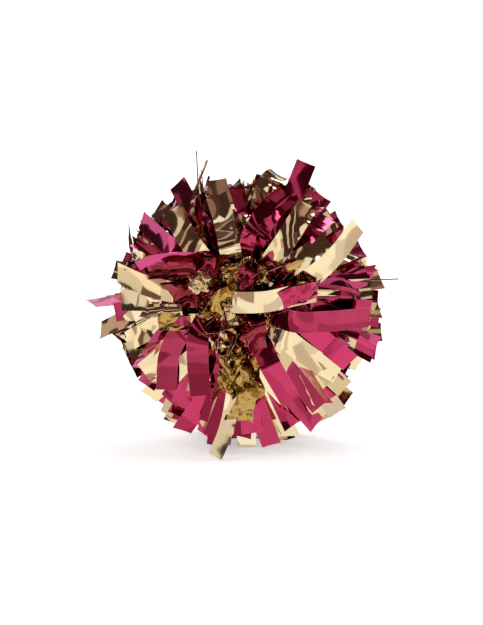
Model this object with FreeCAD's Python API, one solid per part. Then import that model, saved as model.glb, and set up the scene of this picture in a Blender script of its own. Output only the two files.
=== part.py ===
"""Hand-held pom pom: two bunches of metallised film streamers bound to the ends of a hidden baton.

Frame: millimetres, +Z up, origin on the floor under the middle of the pom. The baton lies along Y.
The front bunch faces -Y and the rear bunch faces +Y. Clock angles run clockwise from the top, as
seen from the front. An outline is given as (radius from the baton's axis, distance from the middle
of the baton), and is turned about the baton's axis.
"""

import FreeCAD
import Part

import os
from math import cos, degrees, radians, sin

from FreeCAD import Vector

# Whole pom
AXIS_HEIGHT = 155.0  # baton's axis above the floor
BUNCHES = {"front": -1.0, "rear": 1.0}  # the way along Y that each bunch faces

# Baton tube, which the hand holds
TUBE_RADIUS = 11.5
TUBE_WALL = 2.0
TUBE_HALF_LENGTH = 50.0
GRIP_RIBS = 9
RIB_PITCH = 9.0
RIB_WIDTH = 2.4
RIB_HEIGHT = 0.6

# End spool: a plug inside the tube, a collar against its end, a neck for the film, and a flange
PLUG_CLEARANCE = 0.02
PLUG_LENGTH = 18.0
SPOOL_CORE_RADIUS = 5.5
COLLAR_RADIUS = 15.0
COLLAR_WIDTH = 3.0
NECK_RADIUS = 8.0
NECK_LENGTH = 17.0
FLANGE_RADIUS = 14.0
FLANGE_WIDTH = 3.0
EDGE_ROUND = 0.8

# Film headers: the uncut bands of the fringed sheets, rolled round the neck and flared past the flange
HEADER_CLEARANCE = 0.1
GOLD_THICKNESS = 4.2
PINK_THICKNESS = 4.1
FLARE_GAP = 0.4
GOLD_MOUTH = 94.0  # distance from the middle of the baton at which each gathered header opens out
PINK_MOUTH = 86.0
LAYER_CLEARANCE = 0.3  # between the two headers where they flare
SHOULDER_BEFORE = 4.0  # each header climbs the flange from this far before its inner face
SHOULDER_AFTER = 1.0  # to this far past it
THROAT_PAST_FLANGE = 6.0
GOLD_FLARE = (3.6, 4.1, 6.0)  # outer face past the flange's rim at the shoulder, the throat and the mouth
# The pink header's flare past the gold header's shoulder: its outer face there and further on, and
# its inner face at the mouth.
PINK_FLARE = (3.6, 4.0, 1.4)
ROLLED_LIP = 1.0  # the gold mouth's edge is rolled inwards by this much

# Binding
TIE_WIDTH = 4.8
TIE_THICKNESS = 1.2
TIE_OFFSET = 2.0  # from the collar
TIE_HEAD = (8.0, 5.8, 5.2)  # round the band, along the baton, away from the baton
TIE_TAIL = 7.0
TIE_CLOCK = 22.5
TAPE_WIDTH = 5.0
TAPE_THICKNESS = 0.4
TAPE_OFFSET = 9.0

# Streamer tufts: each is a wedge of the bunch, with inner streamers that fan forward and outer ones
# that fan sideways. They hinge where the film leaves the binding.
TUFTS = 8
TUFT_SPREAD = 37.0  # degrees of the 45 that each tuft has, which leaves room to sway
BUNCH_DEPTH = 132.0  # half axis of the bunch's rounded outline along the baton
REACH = {0: 128.0, 45: 137.0, 90: 149.0, 135: 154.0, 180: 172.0}  # other half axis, by degrees from the top
ROOT_FRONT = (26.0, 76.0)
ROOT_MIDDLE = (27.5, 70.0)
ROOT_BACK = (25.0, 62.0)
POLE_ANGLE = 24.0  # from the baton's axis to the innermost streamers
SPLIT_ANGLE = 50.0  # to the line between inner and outer streamers
RIM_ANGLE = 76.0  # to the outermost streamers
LAYER_GAP = 1.0

AXIS_POINT = Vector(0, 0, AXIS_HEIGHT)
AXIS_DIRECTION = Vector(0, 1, 0)
COLLAR_AT = TUBE_HALF_LENGTH
NECK_AT = COLLAR_AT + COLLAR_WIDTH
FLANGE_AT = NECK_AT + NECK_LENGTH
THROAT_AT = FLANGE_AT + THROAT_PAST_FLANGE
GOLD_RADIUS = NECK_RADIUS + HEADER_CLEARANCE + GOLD_THICKNESS
PINK_RADIUS = GOLD_RADIUS + HEADER_CLEARANCE + PINK_THICKNESS


def place(side, radius, distance):
    """A point of an outline, straight up from the baton's axis, on one side of the pom."""
    return Vector(0, side * distance, AXIS_HEIGHT + radius)


def turned(edges, start, sweep):
    """The solid that a closed outline makes when it turns about the baton's axis, in degrees."""
    face = Part.Face(Part.Wire(edges))
    face.rotate(AXIS_POINT, AXIS_DIRECTION, start)
    return face.revolve(AXIS_POINT, AXIS_DIRECTION, sweep)


def straight_edges(side, outline):
    """Straight edges round a closed outline of (radius, distance) points."""
    points = [place(side, *point) for point in outline]
    return [Part.LineSegment(a, b).toShape() for a, b in zip(points, points[1:] + points[:1])]


def ring(side, inner, outer, start, width):
    """A plain band round the baton's axis."""
    end = start + width
    outline = [(inner, start), (outer, start), (outer, end), (inner, end)]
    return turned(straight_edges(side, outline), 0, 360)


def disc(side, radius, start, width):
    """A solid round stretch of the baton."""
    base = Vector(0, side * start, AXIS_HEIGHT)
    return Part.makeCylinder(radius, width, base, AXIS_DIRECTION * side)


def baton_tube():
    """The moulded grip: a hollow tube with shallow ribs."""
    inner = TUBE_RADIUS - TUBE_WALL
    tube = disc(1, TUBE_RADIUS, -TUBE_HALF_LENGTH, 2 * TUBE_HALF_LENGTH)
    for i in range(GRIP_RIBS):
        middle = (i - (GRIP_RIBS - 1) / 2) * RIB_PITCH
        rib = disc(1, TUBE_RADIUS + RIB_HEIGHT, middle - RIB_WIDTH / 2, RIB_WIDTH)
        tube = tube.fuse(rib)
    return tube.cut(disc(1, inner, -TUBE_HALF_LENGTH, 2 * TUBE_HALF_LENGTH)).removeSplitter()


def end_spool(side):
    """Plug, collar, neck and flange in one moulding, cored out from its inner end."""
    plug_radius = TUBE_RADIUS - TUBE_WALL - PLUG_CLEARANCE
    plug = disc(side, plug_radius, COLLAR_AT - PLUG_LENGTH, PLUG_LENGTH)
    collar = disc(side, COLLAR_RADIUS, COLLAR_AT, COLLAR_WIDTH)
    neck = disc(side, NECK_RADIUS, NECK_AT, NECK_LENGTH)
    flange = disc(side, FLANGE_RADIUS, FLANGE_AT, FLANGE_WIDTH)
    core = disc(side, SPOOL_CORE_RADIUS, COLLAR_AT - PLUG_LENGTH, PLUG_LENGTH + NECK_LENGTH)
    rims = []
    for plate in (collar, flange):
        round_edges = [edge for edge in plate.Edges if len(edge.Vertexes) == 1]
        rims.append(plate.makeFillet(EDGE_ROUND, round_edges))
    return plug.fuse([neck] + rims).cut(core).removeSplitter()


def gold_header(side):
    """The inner roll of film: round the neck, over the flange and out to the mouth of the bunch."""
    inner = NECK_RADIUS + HEADER_CLEARANCE
    over = FLANGE_RADIUS + FLARE_GAP
    shoulder, throat, mouth = GOLD_FLARE
    outline = [
        (inner, NECK_AT + HEADER_CLEARANCE),
        (GOLD_RADIUS, NECK_AT + HEADER_CLEARANCE),
        (GOLD_RADIUS, FLANGE_AT - SHOULDER_BEFORE),
        (over + shoulder, FLANGE_AT + SHOULDER_AFTER),
        (over + throat, THROAT_AT),
        (over + mouth, GOLD_MOUTH),
        (over - ROLLED_LIP, GOLD_MOUTH),
        (over, THROAT_AT),
        (over, FLANGE_AT - FLARE_GAP),
        (inner, FLANGE_AT - FLARE_GAP),
    ]
    return turned(straight_edges(side, outline), 0, 360)


def pink_header(side):
    """The outer roll of film, which lies on the inner one and opens out sooner."""
    inner = GOLD_RADIUS + HEADER_CLEARANCE
    over = FLANGE_RADIUS + FLARE_GAP + GOLD_FLARE[0] + LAYER_CLEARANCE
    shoulder, throat, mouth = PINK_FLARE
    outline = [
        (inner, NECK_AT + HEADER_CLEARANCE),
        (PINK_RADIUS, NECK_AT + HEADER_CLEARANCE),
        (PINK_RADIUS, FLANGE_AT - SHOULDER_BEFORE / 2),
        (over + shoulder, FLANGE_AT + 2 * SHOULDER_AFTER),
        (over + throat, PINK_MOUTH),
        (over + mouth, PINK_MOUTH),
        (over + throat - shoulder, THROAT_AT),
        (over, FLANGE_AT + SHOULDER_AFTER),
        (inner, FLANGE_AT - SHOULDER_BEFORE),
    ]
    return turned(straight_edges(side, outline), 0, 360)


def cable_tie(side):
    """Strap pulled round both headers, its locking head, and the trimmed tail."""
    inner = PINK_RADIUS + HEADER_CLEARANCE
    start = NECK_AT + TIE_OFFSET
    strap = ring(side, inner, inner + TIE_THICKNESS, start, TIE_WIDTH)
    round_size, along_size, out_size = TIE_HEAD
    middle = side * (start + TIE_WIDTH / 2)
    head = Part.makeBox(
        round_size,
        along_size,
        out_size,
        Vector(-round_size / 2, middle - along_size / 2, AXIS_HEIGHT + inner + 0.2),
    )
    tail = Part.makeBox(
        TIE_TAIL + round_size / 2,
        TIE_WIDTH - 0.4,
        TIE_THICKNESS,
        Vector(0, middle - TIE_WIDTH / 2 + 0.2, AXIS_HEIGHT + inner + out_size / 2),
    )
    tie = strap.fuse([head, tail]).removeSplitter()
    tie.rotate(AXIS_POINT, AXIS_DIRECTION, TIE_CLOCK)
    return tie


def binding_tape(side):
    """Adhesive tape wound over the headers beside the tie."""
    inner = PINK_RADIUS + HEADER_CLEARANCE
    return ring(side, inner, inner + TAPE_THICKNESS, NECK_AT + TAPE_OFFSET, TAPE_WIDTH)


def on_outline(reach, angle):
    """The bunch's rounded outline: an ellipse, at an angle from the baton's axis."""
    return reach * sin(radians(angle)), BUNCH_DEPTH * cos(radians(angle))


def wedge(side, clock, near, far, reach, start, end):
    """One layer of a tuft, from two root points out to an arc of the outline."""
    first = place(side, *on_outline(reach, start))
    middle = place(side, *on_outline(reach, (start + end) / 2))
    last = place(side, *on_outline(reach, end))
    a, b = place(side, *near), place(side, *far)
    edges = [
        Part.LineSegment(a, first).toShape(),
        Part.Arc(first, middle, last).toShape(),
        Part.LineSegment(last, b).toShape(),
        Part.LineSegment(b, a).toShape(),
    ]
    solid = turned(edges, clock - TUFT_SPREAD / 2, TUFT_SPREAD)
    if reach * sin(radians(RIM_ANGLE)) > AXIS_HEIGHT:  # this tuft is pressed flat on the floor
        size = 4 * AXIS_HEIGHT
        floor = Part.makeBox(size, size, size, Vector(-size / 2, -size / 2, -size))
        solid = solid.cut(floor)
    return solid


def tuft(side, number):
    """Inner and outer streamers of one tuft, as two solids with a thin gap between them."""
    clock = (number - 1) * 360.0 / TUFTS
    reach = REACH[int(min(clock, 360 - clock))]
    gap = LAYER_GAP / 2
    half_turn = degrees(gap / BUNCH_DEPTH)
    radius, distance = ROOT_MIDDLE
    inner = wedge(
        side, clock, ROOT_FRONT, (radius, distance + gap), reach, POLE_ANGLE, SPLIT_ANGLE - half_turn
    )
    outer = wedge(
        side, clock, (radius, distance - gap), ROOT_BACK, reach, SPLIT_ANGLE + half_turn, RIM_ANGLE
    )
    return inner, outer


def whole_pom():
    """Every node's name and solid."""
    nodes = {"baton_tube": baton_tube()}
    for bunch, side in BUNCHES.items():
        nodes[f"{bunch}_end_spool"] = end_spool(side)
        nodes[f"{bunch}_gold_header"] = gold_header(side)
        nodes[f"{bunch}_pink_header"] = pink_header(side)
        nodes[f"{bunch}_cable_tie"] = cable_tie(side)
        nodes[f"{bunch}_binding_tape"] = binding_tape(side)
        for number in range(1, TUFTS + 1):
            inner, outer = tuft(side, number)
            nodes[f"{bunch}_streamers_{number}_inner"] = inner
            nodes[f"{bunch}_streamers_{number}_outer"] = outer
    return nodes


os.makedirs("parts", exist_ok=True)
total = 0.0
for name, shape in whole_pom().items():
    shape.exportStep(f"parts/{name}.step")
    total += shape.Volume
    print(name, "valid" if shape.isValid() else "NOT VALID", len(shape.Solids), round(shape.Volume))
print("volume in litres:", round(total / 1e6, 3))
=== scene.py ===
"""Cheer pom pom: two bunches of gold and pink metallised film streamers on a baton grip.

Lengths are in metres unless a name says otherwise. +Z is up, the baton lies along Y and the front
bunch faces -Y. A place in a bunch is given by its clock (degrees clockwise from the top as seen
from the front), its reach (distance from the baton's axis) and its advance (distance from the
middle of the baton along it).
"""

from __future__ import annotations

import logging
import math
from dataclasses import dataclass, field
from enum import Enum
from typing import Any

import bpy
import numpy as np
from numpy.typing import NDArray
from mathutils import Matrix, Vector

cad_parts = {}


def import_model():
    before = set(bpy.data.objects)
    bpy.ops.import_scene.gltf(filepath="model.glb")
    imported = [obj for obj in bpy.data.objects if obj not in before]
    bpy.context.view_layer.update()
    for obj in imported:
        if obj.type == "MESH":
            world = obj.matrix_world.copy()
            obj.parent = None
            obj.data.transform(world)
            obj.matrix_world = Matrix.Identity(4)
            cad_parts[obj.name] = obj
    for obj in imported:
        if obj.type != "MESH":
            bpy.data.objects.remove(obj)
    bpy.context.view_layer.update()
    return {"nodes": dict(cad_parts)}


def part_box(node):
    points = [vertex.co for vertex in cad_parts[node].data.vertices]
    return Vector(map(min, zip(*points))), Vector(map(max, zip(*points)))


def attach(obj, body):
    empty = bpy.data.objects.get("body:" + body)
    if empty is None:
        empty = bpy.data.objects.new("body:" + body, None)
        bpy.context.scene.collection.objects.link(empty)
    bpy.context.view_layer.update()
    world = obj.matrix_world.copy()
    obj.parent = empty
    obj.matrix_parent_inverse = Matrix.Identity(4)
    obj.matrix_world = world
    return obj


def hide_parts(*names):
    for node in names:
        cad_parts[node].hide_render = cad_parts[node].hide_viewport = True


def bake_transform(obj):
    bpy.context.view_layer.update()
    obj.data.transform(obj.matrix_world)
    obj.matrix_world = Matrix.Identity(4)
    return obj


Array = NDArray[np.float64]
log = logging.getLogger("pom")

MM = 0.001
FILM_THICKNESS = 0.16 * MM  # thicker than the real film, so that its two sides stay apart
PATTERN_SHIFT = 7.3  # how far the pattern is moved along a streamer, from one shade to another
PAINTED_SHEEN_NUMBER = 0.95  # the number of a streamer that gets the paler colour of painted sheen
PAINTED_SHEEN_RANGE = (0.86, 0.90)  # where a streamer's number starts to mix in the paler colour of painted sheen, and where the mix ends


class Film(Enum):
    """The two films that the streamers are cut from, by their material slot in the record."""

    GOLD = "gold_film"
    PINK = "pink_film"


class Layer(Enum):
    """The two layers of a tuft: streamers that fan forward, and streamers that fan sideways."""

    INNER = "inner"
    OUTER = "outer"


# ---------------------------------------------------------------------------------------------
# Shaders
# ---------------------------------------------------------------------------------------------


@dataclass(frozen=True)
class Value:
    """A number socket of a shader, on which Python's operators add Math nodes."""

    shader: Shader
    socket: bpy.types.NodeSocket

    def _math(self, operation: str, *terms: Value | float) -> Value:
        """The output of a new Math node, whose inputs are the terms in order."""
        made = self.shader.node("ShaderNodeMath", {"operation": operation}, dict(enumerate(terms)))
        return Value(self.shader, made.outputs[0])

    def __add__(self, other: Value | float) -> Value:
        """Sum."""
        return self._math("ADD", self, other)

    def __radd__(self, other: float) -> Value:
        """Sum with the number first."""
        return self._math("ADD", other, self)

    def __sub__(self, other: Value | float) -> Value:
        """Difference."""
        return self._math("SUBTRACT", self, other)

    def __rsub__(self, other: float) -> Value:
        """Difference from a number."""
        return self._math("SUBTRACT", other, self)

    def __mul__(self, other: Value | float) -> Value:
        """Product."""
        return self._math("MULTIPLY", self, other)

    def __rmul__(self, other: float) -> Value:
        """Product with the number first."""
        return self._math("MULTIPLY", other, self)

    def __abs__(self) -> Value:
        """Distance from zero."""
        return self._math("ABSOLUTE", self)

    def above(self, low: float, high: float) -> Value:
        """How far the value is from the low limit to the high one, held between 0 and 1."""
        inputs = {"Value": self.socket, "From Min": low, "From Max": high}
        return Value(self.shader, self.shader.node("ShaderNodeMapRange", {"clamp": True}, inputs).outputs[0])


class Shader:
    """The node tree of one material, with a Principled surface."""

    def __init__(self, name: str) -> None:
        """Starts the material.

        Args:
            name: The material's name.
        """
        self.material = bpy.data.materials.new(name)
        self.material.use_nodes = True
        self.tree = self.material.node_tree
        self.tree.nodes.clear()
        self.surface = self.node("ShaderNodeBsdfPrincipled")
        self.node("ShaderNodeOutputMaterial", {}, {"Surface": self.surface.outputs[0]})

    def node(
        self, kind: str, settings: dict[str, Any] | None = None, inputs: dict[str | int, Any] | None = None
    ) -> bpy.types.Node:
        """Adds a node.

        Args:
            kind: The node's type.
            settings: Its properties, which are set first.
            inputs: Values or links of its sockets, by name, identifier or number.

        Returns:
            The node.
        """
        made = self.tree.nodes.new(kind)
        for name, setting in (settings or {}).items():
            setattr(made, name, setting)
        for name, given in (inputs or {}).items():
            self.feed(made, name, given)
        return made

    def feed(self, node: bpy.types.Node, name: str | int, given: Any) -> None:
        """Sets or links one socket of a node.

        Args:
            node: The node.
            name: The socket's identifier, name or number.
            given: A number, a colour, a vector, a Value or an output socket.
        """
        by_identifier = {s.identifier: s for s in node.inputs}
        socket = by_identifier[name] if name in by_identifier else node.inputs[name]
        if isinstance(given, Value):
            given = given.socket
        if isinstance(given, bpy.types.NodeSocket):
            self.tree.links.new(given, socket)
        else:
            socket.default_value = given

    def attribute(self, name: str) -> Value:
        """A number that the mesh carries at each point."""
        return Value(self, self.node("ShaderNodeAttribute", {"attribute_name": name}).outputs["Fac"])

    def noise(
        self, place: bpy.types.NodeSocket, scale: float, detail: float, stretch: tuple = (1, 1, 1)
    ) -> Value:
        """Noise between 0 and 1.

        Args:
            place: The coordinates.
            scale: How many features there are in a metre.
            detail: How many finer layers are added.
            stretch: A factor on the scale along each coordinate.

        Returns:
            The noise.
        """
        scales = tuple(scale * s for s in stretch)
        mapped = self.node("ShaderNodeMapping", {}, {"Vector": place, "Scale": scales}).outputs[0]
        made = self.node("ShaderNodeTexNoise", {}, {"Vector": mapped, "Scale": 1.0, "Detail": detail})
        return Value(self, made.outputs[0])

    def mixed(self, share: Value | float, first: Any, second: Any) -> bpy.types.NodeSocket:
        """Mixes two colours.

        Args:
            share: How much of the second colour there is.
            first: The first colour, as four numbers or a socket.
            second: The second colour.

        Returns:
            The mixed colour.
        """
        inputs = {"Factor_Float": share, "A_Color": first, "B_Color": second}
        made = self.node("ShaderNodeMix", {"data_type": "RGBA"}, inputs)
        return next(s for s in made.outputs if s.identifier == "Result_Color")

    def bump(self, height: Value, distance: float, strength: float) -> None:
        """Feeds the surface's normal with a relief between 0 and 1, whose depth is the distance."""
        made = self.node("ShaderNodeBump", {}, {"Height": height, "Distance": distance, "Strength": strength})
        self.feed(self.surface, "Normal", made.outputs[0])


def opaque(colour: tuple[float, float, float]) -> tuple[float, float, float, float]:
    """A colour with full alpha."""
    return (*colour, 1.0)


@dataclass(frozen=True)
class FilmFinish:
    """Metallised polyester film: a mirror of tinted metal under a clear skin, slightly creased.

    Attributes:
        name: The material's name.
        colour: The metal's colour where the dye is thin.
        deep: The metal's colour where the dye is thick.
        painted_sheen: Painted sheen: a paler colour on a few streamers, standing in for the whitish sheen
            that light at a grazing angle gives the film.
        crushed: Painted shade: the metal's colour darkened the way film that mirrors itself looks after two
            or three bounces, put where the film is crushed.
        edge: The colour along the cut edges, where the dye has worn off.
        skin: Weight of the clear skin.
    """

    name: str
    colour: tuple[float, float, float]
    deep: tuple[float, float, float]
    painted_sheen: tuple[float, float, float]
    crushed: tuple[float, float, float]
    edge: tuple[float, float, float]
    skin: float

    def build(self) -> bpy.types.Material:
        """Builds the material, whose pattern follows each streamer's own UV map."""
        shader = Shader(self.name)
        surface = shader.surface
        flat = shader.node("ShaderNodeUVMap", {"uv_map": "film"}).outputs[0]
        around = shader.node("ShaderNodeTexCoord").outputs["Object"]
        own, crush_and_painted_shade = shader.attribute("streamer"), shader.attribute("crush_and_painted_shade")
        across = Value(shader, shader.node("ShaderNodeSeparateXYZ", {}, {0: flat}).outputs[0])
        waves = shader.noise(flat, 48.0, 1.0, (0.012, 1.0, 1.0))
        creases = shader.noise(around, 210.0, 3.0)
        smudges = shader.noise(around, 60.0, 2.0)
        shader.bump(waves * 0.9 + creases * (0.04 + 0.20 * crush_and_painted_shade), distance=0.0011, strength=0.13)
        dye = (smudges * 0.4 + own * 0.6).above(0.22, 0.72)
        rim = abs(across - 0.5).above(0.485, 0.5) * 0.55
        tinted = shader.mixed(dye, opaque(self.colour), opaque(self.deep))
        # Painted sheen: streamers with a high number of their own take the paler colour that stands in for
        # grazing reflections.
        tinted = shader.mixed(own.above(*PAINTED_SHEEN_RANGE) * 0.9, tinted, opaque(self.painted_sheen))
        # Painted shade: crushed streamers, the headers and the wads darken towards the colour of light
        # bounced inside crumpled film.
        tinted = shader.mixed(crush_and_painted_shade, tinted, opaque(self.crushed))
        shader.feed(surface, "Base Color", shader.mixed(rim, tinted, opaque(self.edge)))
        shader.feed(surface, "Roughness", 0.05 + 0.08 * smudges.above(0.35, 0.75))
        shader.feed(surface, "Metallic", 1.0)
        shader.feed(surface, "Coat Weight", self.skin)
        shader.feed(surface, "Coat Roughness", 0.04)
        shader.feed(surface, "Coat IOR", 1.6)
        return shader.material


@dataclass(frozen=True)
class PlasticFinish:
    """Moulded plastic with a fine texture, faint flow marks and handling marks.

    Attributes:
        name: The material's name.
        colour: The plastic's colour.
        marked: The colour of handled or aged patches.
        rough: Roughness of the clean surface.
        grain: How many texture dimples there are in a metre.
        depth: Depth of the texture in metres.
    """

    name: str
    colour: tuple[float, float, float]
    marked: tuple[float, float, float]
    rough: float
    grain: float
    depth: float

    def build(self) -> bpy.types.Material:
        """Builds the material on object coordinates."""
        shader = Shader(self.name)
        place = shader.node("ShaderNodeTexCoord").outputs["Object"]
        texture = shader.noise(place, self.grain, 2.0)
        flow = shader.noise(place, 45.0, 3.0, (1.0, 0.3, 1.0))
        patches = flow.above(0.45, 0.75)
        colour = shader.mixed(patches, opaque(self.colour), opaque(self.marked))
        shader.feed(shader.surface, "Base Color", colour)
        shader.feed(shader.surface, "Roughness", self.rough + 0.12 * patches + 0.06 * texture)
        shader.feed(shader.surface, "IOR", 1.49)
        shader.bump(texture * 0.8 + flow * 0.2, self.depth, strength=0.5)
        return shader.material


@dataclass(frozen=True)
class Finishes:
    """Every material of the pom, made once."""

    film: dict[Film, bpy.types.Material]
    grip: bpy.types.Material
    spool: bpy.types.Material
    tie: bpy.types.Material
    tape: bpy.types.Material

    @classmethod
    def make(cls) -> Finishes:
        """Builds all the materials."""
        gold = FilmFinish(
            name="gold-film",
            colour=(0.78, 0.65, 0.41),
            deep=(0.70, 0.54, 0.27),
            # painted sheen: a paler champagne for a few gold streamers
            painted_sheen=(0.82, 0.73, 0.53),
            # painted shade: the gold colour as it looks after about three bounces inside crumpled film
            crushed=(0.44, 0.28, 0.065),
            edge=(0.86, 0.79, 0.64),
            skin=0.25,
        )
        pink = FilmFinish(
            name="pink-film",
            colour=(0.52, 0.012, 0.10),
            deep=(0.29, 0.003, 0.042),
            # painted sheen: a paler orchid for a few pink streamers
            painted_sheen=(0.54, 0.05, 0.20),
            # painted shade: the pink colour as it looks after about two bounces inside crumpled film
            crushed=(0.26, 0.004, 0.018),
            edge=(0.72, 0.22, 0.38),
            skin=0.55,
        )
        grip = PlasticFinish("grip-plastic", (0.80, 0.79, 0.75), (0.72, 0.70, 0.64), 0.36, 1500.0, 0.12 * MM)
        spool = PlasticFinish("spool-plastic", (0.83, 0.82, 0.79), (0.76, 0.74, 0.70), 0.30, 900.0, 0.06 * MM)
        tie = PlasticFinish("tie-nylon", (0.78, 0.77, 0.70), (0.70, 0.68, 0.58), 0.42, 1200.0, 0.05 * MM)
        tape = PlasticFinish("binding-tape", (0.62, 0.05, 0.16), (0.52, 0.03, 0.12), 0.22, 500.0, 0.08 * MM)
        film = {Film.GOLD: gold.build(), Film.PINK: pink.build()}
        return cls(film, grip.build(), spool.build(), tie.build(), tape.build())


# ---------------------------------------------------------------------------------------------
# Shapes
# ---------------------------------------------------------------------------------------------


def unit(vectors: Array) -> Array:
    """Each vector of the last axis, divided by its length."""
    return vectors / np.maximum(np.linalg.norm(vectors, axis=-1, keepdims=True), 1e-12)


def area_of(grid: Array) -> float:
    """A grid's area: half the length of the cross product of each cell's diagonals, added up."""
    first, second = grid[1:, 1:] - grid[:-1, :-1], grid[1:, :-1] - grid[:-1, 1:]
    return float(np.linalg.norm(np.cross(first, second), axis=-1).sum() / 2)


@dataclass(frozen=True)
class Bunch:
    """One end's bunch, and how places in it are found.

    Attributes:
        name: Its name in the CAD nodes and bodies.
        side: The way it faces along Y, -1 or 1.
        height: The baton's axis above the floor.
        tufts: How many tufts are round it.
    """

    name: str
    side: float
    height: float
    tufts: int = 8

    @property
    def outward(self) -> Array:
        """The direction along the baton, away from its middle."""
        return np.array([0.0, self.side, 0.0])

    def spoke(self, clock: Array | float) -> Array:
        """The direction away from the baton's axis: (sine, 0, cosine) of the clock angle in degrees."""
        angle = np.radians(np.asarray(clock, float))
        return np.stack([np.sin(angle), np.zeros_like(angle), np.cos(angle)], axis=-1)

    def place(self, clock: Array | float, reach: Array | float, advance: Array | float) -> Array:
        """Points: spoke times reach, plus outward times advance, above the floor by the axis's height."""
        reach, advance = np.asarray(reach, float)[..., None], np.asarray(advance, float)[..., None]
        return self.spoke(clock) * reach + self.outward * advance + np.array([0.0, 0.0, self.height])

    def tuft_at(self, clock: float) -> int:
        """The number of the tuft that a clock angle lies in, from 1 at the top."""
        return int(round(clock / (360.0 / self.tufts))) % self.tufts + 1


@dataclass
class Grids:
    """Patches of points, rows by columns, that become one mesh.

    Attributes:
        points: Each patch's points, (rows, columns, 3).
        across: Each patch's first UV coordinate, (rows, columns), from 0 to 1 over its width.
        along: Each patch's second UV coordinate, in metres.
        shades: Two numbers between 0 and 1 for each patch: its own, and how crushed it is, which also sets
            its painted shade.
    """

    points: list[Array] = field(default_factory=list)
    across: list[Array] = field(default_factory=list)
    along: list[Array] = field(default_factory=list)
    shades: list[tuple[float, float]] = field(default_factory=list)

    def add(self, points: Array, along: Array, shade: float, crush_and_painted_shade: float = 0.0) -> None:
        """Adds a patch.

        Args:
            points: Its points, (rows, columns, 3).
            along: Distance along the patch for each row.
            shade: The patch's own number.
            crush_and_painted_shade: How crushed it is, which also sets how much painted shade it gets.
        """
        rows, columns = points.shape[:2]
        self.points.append(points)
        self.across.append(np.broadcast_to(np.linspace(0.0, 1.0, columns), (rows, columns)))
        self.along.append(np.broadcast_to((along + shade * PATTERN_SHIFT)[:, None], (rows, columns)))
        self.shades.append((shade, crush_and_painted_shade))

    def area(self) -> float:
        """The patches' area."""
        return sum(area_of(p) for p in self.points)

    def mesh(self, name: str, thickness: float, closed: bool = False) -> bpy.types.Object:
        """Makes the patches one object, thickened into closed film with square-cut edges.

        Cell (row, column) joins points (row, column), (row, column+1), (row+1, column+1) and
        (row+1, column). Edges that only one cell uses are marked sharp, so the film's faces keep
        their own normals right up to the cut.

        Args:
            name: The object's name.
            thickness: The film's thickness.
            closed: Whether each patch's last column meets its first.

        Returns:
            The object.
        """
        cells, first = [], 0
        for p in self.points:
            rows, columns = p.shape[:2]
            index = first + np.arange(rows * columns).reshape(rows, columns)
            if closed:
                index = np.concatenate([index[:, :-1], index[:, :1]], axis=1)
            corners = index[:-1, :-1], index[:-1, 1:], index[1:, 1:], index[1:, :-1]
            cells.append(np.stack(corners, axis=-1).reshape(-1, 4))
            first += rows * columns
        used, quads = np.unique(np.concatenate(cells), return_inverse=True)
        quads = quads.reshape(-1, 4)
        vertices = np.concatenate([p.reshape(-1, 3) for p in self.points])[used]
        film = [np.concatenate([a.ravel() for a in part]) for part in (self.across, self.along)]
        uv = np.stack(film, axis=-1)[used]
        sizes = [p.shape[0] * p.shape[1] for p in self.points]
        shades = np.repeat(np.array(self.shades, dtype=np.float32), sizes, axis=0)[used]

        mesh = bpy.data.meshes.new(name)
        mesh.vertices.add(len(vertices))
        mesh.vertices.foreach_set("co", vertices.astype(np.float32).ravel())
        mesh.loops.add(quads.size)
        mesh.loops.foreach_set("vertex_index", quads.astype(np.int32).ravel())
        mesh.polygons.add(len(quads))
        mesh.polygons.foreach_set("loop_start", np.arange(0, quads.size, 4, dtype=np.int32))
        mesh.polygons.foreach_set("loop_total", np.full(len(quads), 4, dtype=np.int32))
        mesh.update(calc_edges=True)
        mesh.polygons.foreach_set("use_smooth", np.ones(len(quads), dtype=bool))
        layer = mesh.uv_layers.new(name="film")
        layer.data.foreach_set("uv", uv[quads.ravel()].astype(np.float32).ravel())
        for attribute, column in (("streamer", 0), ("crush_and_painted_shade", 1)):
            numbers = np.ascontiguousarray(shades[:, column])
            mesh.attributes.new(attribute, "FLOAT", "POINT").data.foreach_set("value", numbers)

        sides = np.sort(np.stack([quads, np.roll(quads, -1, axis=1)], axis=-1).reshape(-1, 2), axis=1)
        keys, uses = np.unique(sides[:, 0].astype(np.int64) * len(vertices) + sides[:, 1], return_counts=True)
        ends = np.zeros(len(mesh.edges) * 2, dtype=np.int32)
        mesh.edges.foreach_get("vertices", ends)
        ends = np.sort(ends.reshape(-1, 2), axis=1)
        cut = np.isin(ends[:, 0].astype(np.int64) * len(vertices) + ends[:, 1], keys[uses == 1])
        mesh.attributes.new("sharp_edge", "BOOLEAN", "EDGE").data.foreach_set("value", cut)

        made = bpy.data.objects.new(name, mesh)
        bpy.context.scene.collection.objects.link(made)
        wall = made.modifiers.new("film", "SOLIDIFY")
        wall.thickness, wall.offset, wall.use_rim = thickness, 0.0, True
        return made


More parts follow.
